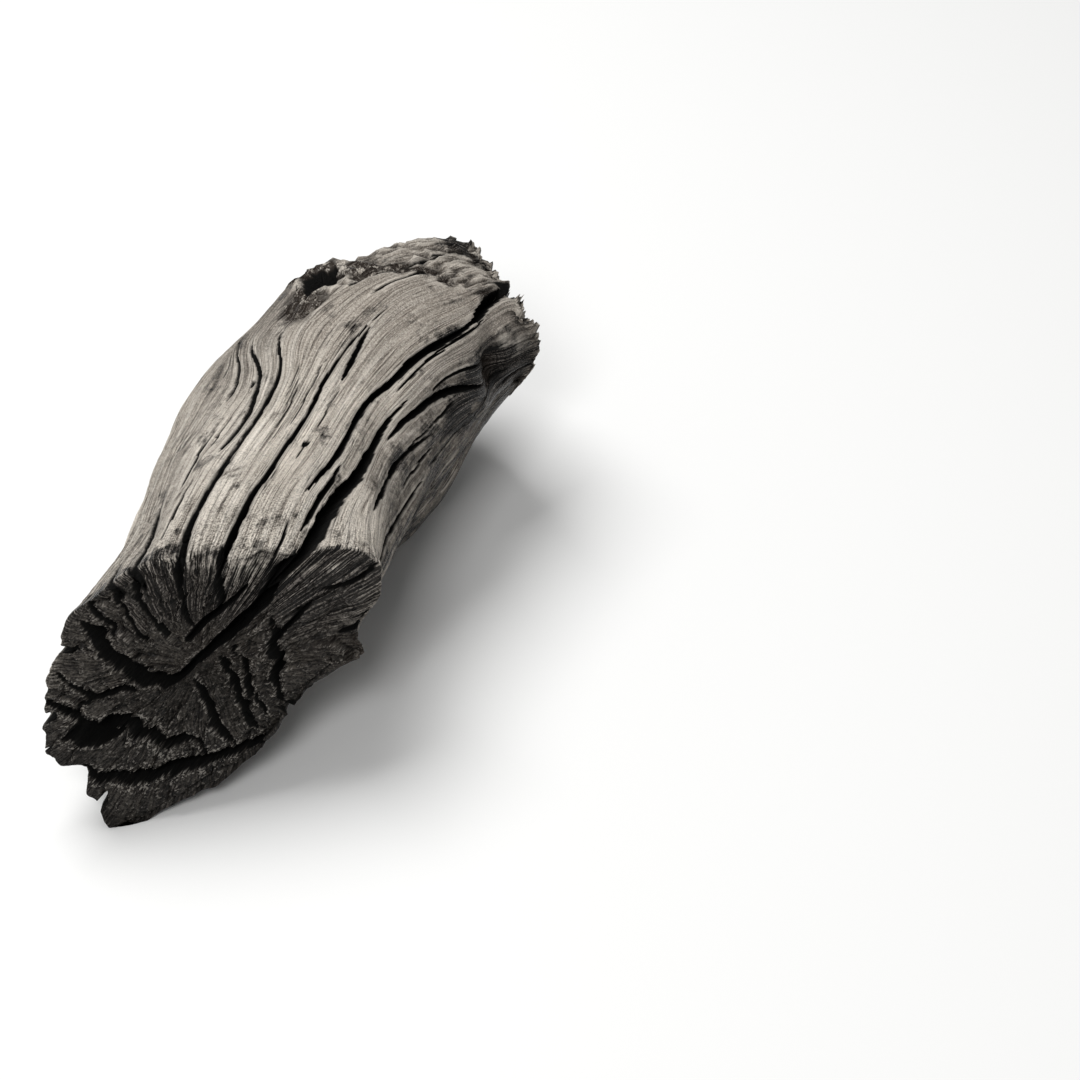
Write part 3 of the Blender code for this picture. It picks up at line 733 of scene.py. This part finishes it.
def shapeLump(data, rings):
    ring, column, inRows = ringsOf(data, rings)
    share, out, around = placeOnLump(ring, column)
    angle = grainAngle(column, share) % turn
    radius = plainRadius(angle, share)
    radius = radius + longWaves(angle, share, radius)
    print("lump: body", len(ring), "points")

    checkDepth, checkDrop, mouth = sideCheckDepth(angle, share, radius)
    smallDepth = smallCheckDepth(column, share, radius)
    wood = asWood(column, share, out)
    along = wood[:, 1]
    soot = blobs(angle, along / lump["woodLength"], sootPlaces)
    crumb, crumbs = crumbledWood(angle, share, wood, soot)
    beyond, rough, crownRelief = brokenCrown(angle, share, wood)
    relief = sideRelief(wood) + crumbs
    nearRim = share < raggedRim["end"]
    ragged = woodNoise(wood[nearRim], raggedRim["across"], raggedRim["along"], 12.0)
    relief[nearRim] += raggedRim["height"] * ragged * bell(share[nearRim], raggedRim["fade"])
    relief += crownRelief
    hole, lip = knotholeShape(angle, share, radius, wood)
    onSide = ease(around, 0.0, 0.6)
    radius = radius - checkDrop + relief * onSide + lip
    inner = (np.maximum(checkDepth + smallDepth, pitDepth(angle, share, radius)) + hole) * onSide
    radius = radius - inner

    turned = np.radians(angle)
    x, z = out * radius * np.cos(turned), out * radius * np.sin(turned)
    pith, leans = pithAt(share), leanAt(share)
    points = pith + np.stack([x, leans[:, 0] * x + leans[:, 1] * z, z], 1)
    print("lump: side checks")

    front = around < 1
    onFace = 1 - ease(around[front], 0.25, 1.0)
    back, deep = frontRelief(angle[front], out[front], x[front], z[front])
    points[front, 1] += (back + deep) * onFace
    endDeep = np.zeros(len(ring))
    endDeep[front] = deep * onFace
    far = share > lump["brokenFrom"]
    onFar = ease(share[far], lump["farShare"] - lump["brokenFade"], 1.0)
    fall, deep = farDrop(angle[far], out[far], x[far], z[far])
    points[far, 1] -= (fall + deep) * onFar
    endDeep[far] += deep * onFar
    points[:, 2] = np.maximum(points[:, 2], 0.0)
    data.vertices.foreach_set("co", fitToSolid(points).ravel())
    print("lump: both ends")

    # what the material reads at each point
    low = np.clip(0.1 - 1.3 * np.sin(turned), 0, 1)
    rolledOver = ease(out, 0.26, 0.60) * np.exp(-(angleFrom(angle, 72) / 68) ** 4)
    onBreak = ease(along - lump["woodLength"], 1.0, 9.0)
    marks = {
        "shade": placesInShade(angle, share),
        "depth": np.clip(inner / 4.0, 0, 1) + np.clip(endDeep / 3.0, 0, 1),
        "mouth": mouth,
        "fromRim": alongFromRim(angle, along, low),
        "low": low,
        "streaks": np.maximum(around, rolledOver) * (1 - onBreak),
        "crumb": np.clip(crumb + 0.45 * beyond * ease(-rough, 0.0, 0.3), 0, 1),
        "soot": soot,
        "stain": blobs(angle, share, stainPlaces),
        "share": share,
    }
    return {"woodSpace": wood, "spotSpace": pith + np.stack([x, z * 0, z], 1)}, marks, inRows


edgeSteps = (1, 2, 3)       # how many points away the neighbours are
edgeHeight = 0.22           # millimetres over the neighbours that make a full edge


def edgesOf(data, inRows):      # 1 on sharp edges, -1 in hollows, by a point's height over its neighbours
    count = len(data.vertices)
    places, normals = np.empty(count * 3), np.empty(count * 3)
    data.vertices.foreach_get("co", places)
    data.vertices.foreach_get("normal", normals)
    places, normals = places.reshape(-1, 3) / mm, normals.reshape(-1, 3)
    grid, facing = places[inRows], normals[inRows]
    total = np.zeros(grid.shape[:2])
    for step in edgeSteps:
        beside = (np.roll(grid, step, 1) + np.roll(grid, -step, 1)) / 2
        before = np.concatenate([grid[:1].repeat(step, 0), grid[:-step]])
        after = np.concatenate([grid[step:], grid[-1:].repeat(step, 0)])
        total += ((grid - beside / 2 - (before + after) / 4) * facing).sum(2) / (edgeHeight * step)
    edges = np.zeros(count)
    edges[inRows] = np.clip(total / len(edgeSteps), -1, 1)
    return edges, normals


def keepMarks(data, spaces, marks):
    for name, places in spaces.items():
        store = data.attributes.new(name, "FLOAT_VECTOR", "POINT")
        store.data.foreach_set("vector", places.ravel())
    for name, values in marks.items():
        store = data.attributes.new(name, "FLOAT", "POINT")
        store.data.foreach_set("value", np.asarray(values, float))


def makeLump():
    data, rings = sphereOfRings("charcoalLump")
    spaces, marks, inRows = shapeLump(data, rings)
    mesh = bmesh.new()
    mesh.from_mesh(data)
    bmesh.ops.recalc_face_normals(mesh, faces=mesh.faces)
    if mesh.calc_volume(signed=True) < 0:
        bmesh.ops.reverse_faces(mesh, faces=mesh.faces)
    mesh.to_mesh(data)
    mesh.free()
    marks["edge"], normals = edgesOf(data, inRows)
    marks["up"] = normals[:, 2]
    keepMarks(data, spaces, marks)
    data.shade_smooth()
    piece = bpy.data.objects.new("charcoalLump", data)
    bpy.context.scene.collection.objects.link(piece)
    data.materials.append(charMaterial())
    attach(piece, "root")
    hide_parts("charcoal_lump")
    print("lump:", len(data.polygons), "faces")


def screenColour(*levels):     # a colour as seen on the screen, 0 to 255, as the shader's linear one
    return (*[((c / 255 + 0.055) / 1.055) ** 2.4 if c > 10 else c / 255 / 12.92 for c in levels], 1.0)


charFinish = {
    # also the colour of the painted shade in the cracks and hollows
    "black": screenColour(8, 8, 7),
    "endBlack": screenColour(27, 24, 22),
    "endGrey": screenColour(84, 79, 73),
    # painted highlight: the colour of the glints on the cut face
    "paintedGlint": screenColour(178, 172, 164),
    # also the colour of the painted shade on the ash's flanks and hollows
    "soot": screenColour(50, 46, 43),
    "stain": screenColour(72, 64, 57),
    # grey of the ash's streaks at the rim, and the colour of the painted highlights on the bare char
    "streakAndGlint": screenColour(146, 139, 132),
    "ashDark": screenColour(108, 99, 90),
    "ash": screenColour(224, 215, 202),
    # also the colour of the painted highlights on the ash's edges
    "ashPale": screenColour(238, 230, 218),
    "brown": screenColour(54, 46, 39),
    "specular": 0.12,
    "roughChar": 0.24,
    "roughAsh": 0.92,
    "bump": 0.9,
    "bumpDistance": 0.0010,
}

# noises of the colour: size across and along the grain, detail, roughness
grainNoises = {
    "fine": (0.42, 22.0, 3.0, 0.6),
    "medium": (1.9, 90.0, 3.0, 0.55),
    "broad": (14.0, 45.0, 2.0, 0.5),
    "patches": (9.0, 17.0, 6.0, 0.7),
    "rays": (0.6, 4.0, 2.0, 0.6),
    "threads": (1.7, 120.0, 1.0, 0.4),
}
spotNoises = {
    "speckle": (0.9, 1.2, 3.0, 0.65),
    "grit": (0.45, 0.5, 2.0, 0.6),
    "lumps": (2.2, 2.6, 4.0, 0.65),
}


class Nodes:        # short ways to add and join shader nodes
    def __init__(self, material):
        material.use_nodes = True
        self.tree = material.node_tree
        self.shader = self.tree.nodes["Principled BSDF"]

    def add(self, kind, inputs=(), **settings):
        node = self.tree.nodes.new(kind)
        for name, value in settings.items():
            setattr(node, name, value)
        for name, value in dict(inputs).items():
            if isinstance(value, bpy.types.NodeSocket):
                self.tree.links.new(value, node.inputs[name])
            else:
                node.inputs[name].default_value = value
        return node

    def mark(self, name, output="Fac"):
        return self.add("ShaderNodeAttribute", attribute_name=name).outputs[output]

    def math(self, operation, a, b=0.0):
        return self.add("ShaderNodeMath", {0: a, 1: b}, operation=operation).outputs[0]

    def plus(self, a, b):
        return self.math("ADD", a, b)

    def minus(self, a, b):
        return self.math("SUBTRACT", a, b)

    def times(self, a, b):
        return self.math("MULTIPLY", a, b)

    def swing(self, noise, amount):     # a noise round 0 instead of round a half
        return self.times(self.minus(noise, 0.5), amount)

    def between(self, value, low, high, start=0.0, end=1.0):
        inputs = {"Value": value, "From Min": low, "From Max": high, "To Min": start, "To Max": end}
        return self.add("ShaderNodeMapRange", inputs).outputs[0]

    def mix(self, share, first, second):
        return self.add("ShaderNodeMix", {0: share, 6: first, 7: second}, data_type="RGBA").outputs[2]

    def noise(self, space, across, along, detail, rough):
        scale = (1 / across, 1 / along, 1 / across)
        scaled = self.add("ShaderNodeMapping", {"Vector": space, "Scale": scale})
        inputs = {"Vector": scaled.outputs[0], "Scale": 1.0, "Detail": detail, "Roughness": rough}
        return self.add("ShaderNodeTexNoise", inputs).outputs["Fac"]


def woodTextures(n):        # all marks of the mesh and all noises, by name
    t = SimpleNamespace()
    for name in (
        "share", "depth", "shade", "crumb", "soot", "mouth", "up", "low", "streaks", "stain", "edge",
    ):
        setattr(t, name, n.mark(name))
    t.fromRim = n.mark("fromRim")       # millimetres along the grain, below 0 on the face
    for space, noises in (("woodSpace", grainNoises), ("spotSpace", spotNoises)):
        places = n.mark(space, "Vector")
        for name, (across, along, detail, rough) in noises.items():
            setattr(t, name, n.noise(places, across, along, detail, rough))
    fromLine = n.math("ABSOLUTE", n.minus(t.threads, 0.5))
    t.hair = n.between(fromLine, 0.0, 0.020, 1.0, 0.0)      # fine dark lines where the threads cross a half
    t.crust = n.between(t.fromRim, 50.0, 4.0, 0.4, 1.0)     # the ash is coarser towards the cut end
    return t


def ashCover(n, t):         # where ash lies: all over the top, less below, in grooves and near the cut end
    # patches of ash
    reach = n.plus(t.patches, n.swing(t.lumps, 0.30))
    reach = n.plus(reach, n.swing(t.medium, 0.30))
    reach = n.plus(reach, n.between(t.up, -0.5, 0.4, -0.13, 0.03))
    reach = n.minus(reach, n.between(t.share, 0.02, 0.20, 0.10, 0.0))
    reach = n.minus(reach, n.times(t.soot, 0.32))
    reach = n.minus(reach, n.times(t.shade, 0.08))
    ash = n.between(reach, 0.31, 0.45)
    # only specks of it on the crumbling wood
    onCrumbs = n.between(n.plus(t.lumps, n.times(t.grit, 0.4)), 0.72, 0.86)
    ash = n.times(ash, n.between(t.crumb, 0.0, 0.8, 1.0, onCrumbs))
    # it ends in streaks at the rim
    fade = n.plus(n.swing(t.fine, 2.0), n.swing(t.broad, 0.7))
    fade = n.plus(fade, n.swing(t.lumps, 0.5))
    fade = n.plus(fade, n.between(t.fromRim, -14.0, 16.0, -0.42, 0.46))
    ash = n.times(ash, n.between(fade, -0.10, 0.10))
    # less beside the checks and none in them
    ash = n.times(ash, n.between(t.mouth, 0.0, 1.0, 1.0, 0.6))
    return n.times(ash, n.between(t.depth, 0.01, 0.16, 1.0, 0.0))


def ashColour(n, t):
    # streaks along the grain
    grey = n.mix(n.between(t.fine, 0.33, 0.55), charFinish["ashDark"], charFinish["ash"])
    grey = n.mix(n.between(t.medium, 0.48, 0.68), grey, charFinish["ashPale"])
    # dark dots and hair-thin lines
    dots = n.between(n.minus(t.speckle, n.between(t.crust, 0.4, 1.0, 0.0, 0.07)), 0.28, 0.40, 1.0, 0.0)
    dots = n.times(dots, n.between(t.patches, 0.42, 0.62, 1.0, 0.15))
    grey = n.mix(n.times(dots, 0.8), grey, charFinish["soot"])
    grey = n.mix(n.times(t.hair, 0.55), grey, charFinish["soot"])
    # duller in broad patches and with stains, and painted shade towards the far end
    grey = n.mix(n.between(t.broad, 0.35, 0.6, 0.18, 0.0), grey, charFinish["ashDark"])
    grey = n.mix(n.between(t.share, 0.40, 0.78, 0.0, 0.62), grey, charFinish["ashDark"])
    stained = n.times(t.stain, n.between(t.lumps, 0.38, 0.58, 1.0, 0.25))
    grey = n.mix(stained, grey, charFinish["stain"])
    # grit, coarser near the cut end
    grey = n.mix(n.times(n.between(t.grit, 0.38, 0.50, 0.75, 0.0), t.crust), grey, charFinish["soot"])
    grey = n.mix(n.times(n.between(t.grit, 0.54, 0.62, 0.0, 0.7), t.crust), grey, charFinish["ashPale"])
    # painted shade on the flanks (partly darker wood) and in the hollows, darker at the rim, and painted
    # highlights on the edges
    grey = n.mix(n.times(t.shade, n.between(t.lumps, 0.44, 0.60, 1.0, 0.6)), grey, charFinish["soot"])
    grey = n.mix(n.between(t.fromRim, 8.0, -8.0, 0.0, 0.5), grey, charFinish["streakAndGlint"])
    grey = n.mix(n.between(t.edge, -0.7, -0.1, 0.6, 0.0), grey, charFinish["soot"])
    return n.mix(n.between(t.edge, 0.15, 0.8, 0.0, 0.35), grey, charFinish["ashPale"])


def bareColour(n, t):       # the side where no ash lies
    dark = n.mix(n.between(t.fine, 0.44, 0.64), charFinish["black"], charFinish["soot"])
    # painted highlights along the grain, dimmer towards the bottom
    paintedHighlight = n.times(n.between(t.fine, 0.50, 0.64), n.between(t.grit, 0.42, 0.58))
    dark = n.mix(n.times(paintedHighlight, n.between(t.low, 0.0, 0.6, 1.0, 0.3)), dark, charFinish["streakAndGlint"])
    return n.mix(n.times(t.crumb, 0.6), dark, charFinish["brown"])


def faceColour(n, t):       # the cut face: grey rays, painted shade in the hollows and towards the bottom, and painted glints on the edges
    lit = n.between(n.plus(n.times(t.rays, 0.70), n.times(t.grit, 0.30)), 0.42, 0.62)
    face = n.mix(lit, charFinish["endBlack"], charFinish["endGrey"])
    face = n.mix(n.between(t.lumps, 0.36, 0.50, 0.55, 0.0), face, charFinish["black"])
    # painted shade: black in the hollows and darker towards the bottom
    face = n.mix(n.between(t.edge, -0.7, 0.0, 0.85, 0.0), face, charFinish["black"])
    face = n.mix(n.between(t.low, 0.3, 1.1, 0.0, 0.5), face, charFinish["black"])
    # painted glints on the raised edges of the plates
    paintedGlints = n.times(n.between(t.grit, 0.52, 0.62), n.between(t.edge, 0.15, 0.80, 0.10, 1.0))
    return n.mix(n.times(paintedGlints, 0.5), face, charFinish["paintedGlint"])


def surfaceHeight(n, t, ash):
    height = n.plus(n.times(t.fine, n.between(t.streaks, 0.0, 1.0, 0.3, 0.8)), n.times(t.speckle, 0.5))
    height = n.plus(height, n.times(t.grit, n.between(ash, 0.0, 1.0, 0.35, n.times(t.crust, 0.7))))
    return n.minus(height, n.times(t.hair, 0.4))


def charMaterial():
    material = bpy.data.materials.new("charredWood")
    n = Nodes(material)
    t = woodTextures(n)
    ash = ashCover(n, t)
    side = n.mix(ash, bareColour(n, t), ashColour(n, t))
    colour = n.mix(t.streaks, faceColour(n, t), side)
    # black in the checks: the bare char's own colour, made darker still as painted shade in the deep cracks
    colour = n.mix(n.between(t.depth, 0.015, 0.22, 0.0, 0.97), colour, charFinish["black"])
    dull = n.math("MAXIMUM", ash, n.between(t.depth, 0.0, 0.15))
    rough = n.between(dull, 0.0, 1.0, charFinish["roughChar"], charFinish["roughAsh"])
    height = surfaceHeight(n, t, ash)
    relief = {"Strength": charFinish["bump"], "Distance": charFinish["bumpDistance"], "Height": height}
    bump = n.add("ShaderNodeBump", relief)
    n.tree.links.new(colour, n.shader.inputs["Base Color"])
    n.tree.links.new(rough, n.shader.inputs["Roughness"])
    n.tree.links.new(bump.outputs[0], n.shader.inputs["Normal"])
    n.shader.inputs["Specular IOR Level"].default_value = charFinish["specular"]
    return material


# metres and watts
studio = {
    "floor": screenColour(238, 238, 237),
    "floorSize": 6.0,
    "floorRough": 0.9,
    "floorSpecular": 0.1,
    "sky": 0.22,
    "key": 16.0,
    "keyAt": (-0.50, 0.18, 1.22),
    "keySize": 0.8,
    "fill": 7.5,
    "fillAt": (0.25, -0.95, 1.05),
    "fillSize": 0.4,
}


def makeFloor():
    mesh = bmesh.new()
    bmesh.ops.create_grid(mesh, x_segments=1, y_segments=1, size=studio["floorSize"] / 2)
    data = bpy.data.meshes.new("studioFloor")
    mesh.to_mesh(data)
    mesh.free()
    floor = bpy.data.objects.new("studioFloor", data)
    bpy.context.scene.collection.objects.link(floor)
    material = bpy.data.materials.new("paleFloor")
    material.use_nodes = True
    shader = material.node_tree.nodes["Principled BSDF"]
    shader.inputs["Base Color"].default_value = studio["floor"]
    shader.inputs["Roughness"].default_value = studio["floorRough"]
    shader.inputs["Specular IOR Level"].default_value = studio["floorSpecular"]
    data.materials.append(material)


def makeSoftbox(name, power, at, size):
    data = bpy.data.lights.new(name, "AREA")
    data.energy = power
    data.size = size
    light = bpy.data.objects.new(name, data)
    light.location = at
    light.rotation_euler = Vector(at).to_track_quat("Z", "Y").to_euler()
    bpy.context.scene.collection.objects.link(light)


def makeLight():
    world = bpy.data.worlds.new("studioSky")
    world.use_nodes = True
    world.node_tree.nodes["Background"].inputs["Color"].default_value = (1, 1, 1, 1)
    world.node_tree.nodes["Background"].inputs["Strength"].default_value = studio["sky"]
    bpy.context.scene.world = world
    makeSoftbox("keyLight", studio["key"], studio["keyAt"], studio["keySize"])
    makeSoftbox("fillLight", studio["fill"], studio["fillAt"], studio["fillSize"])


# degrees, and millimetres in the places of the tables
camera = {"azimuth": 25.0, "elevation": 40.0, "lens": 100.0, "sensor": 36.0, "at": (333.0, -449.6, 560.1)}


def makeCamera():
    data = bpy.data.cameras.new("photoCamera")
    data.lens = camera["lens"]
    data.sensor_width = camera["sensor"]
    a, e = math.radians(camera["azimuth"]), math.radians(camera["elevation"])
    back = Vector((math.sin(a) * math.cos(e), -math.cos(a) * math.cos(e), math.sin(e)))
    eye = bpy.data.objects.new("photoCamera", data)
    eye.location = (Vector(camera["at"]) - Vector(lump["boxMiddle"])) * mm
    eye.rotation_euler = (-back).to_track_quat("-Z", "Y").to_euler()
    bpy.context.scene.collection.objects.link(eye)
    bpy.context.scene.camera = eye


bpy.context.scene.view_settings.view_transform = "Standard"
makeCamera()
makeFloor()
makeLight()
print("stage: camera, floor and light")
makeLump()
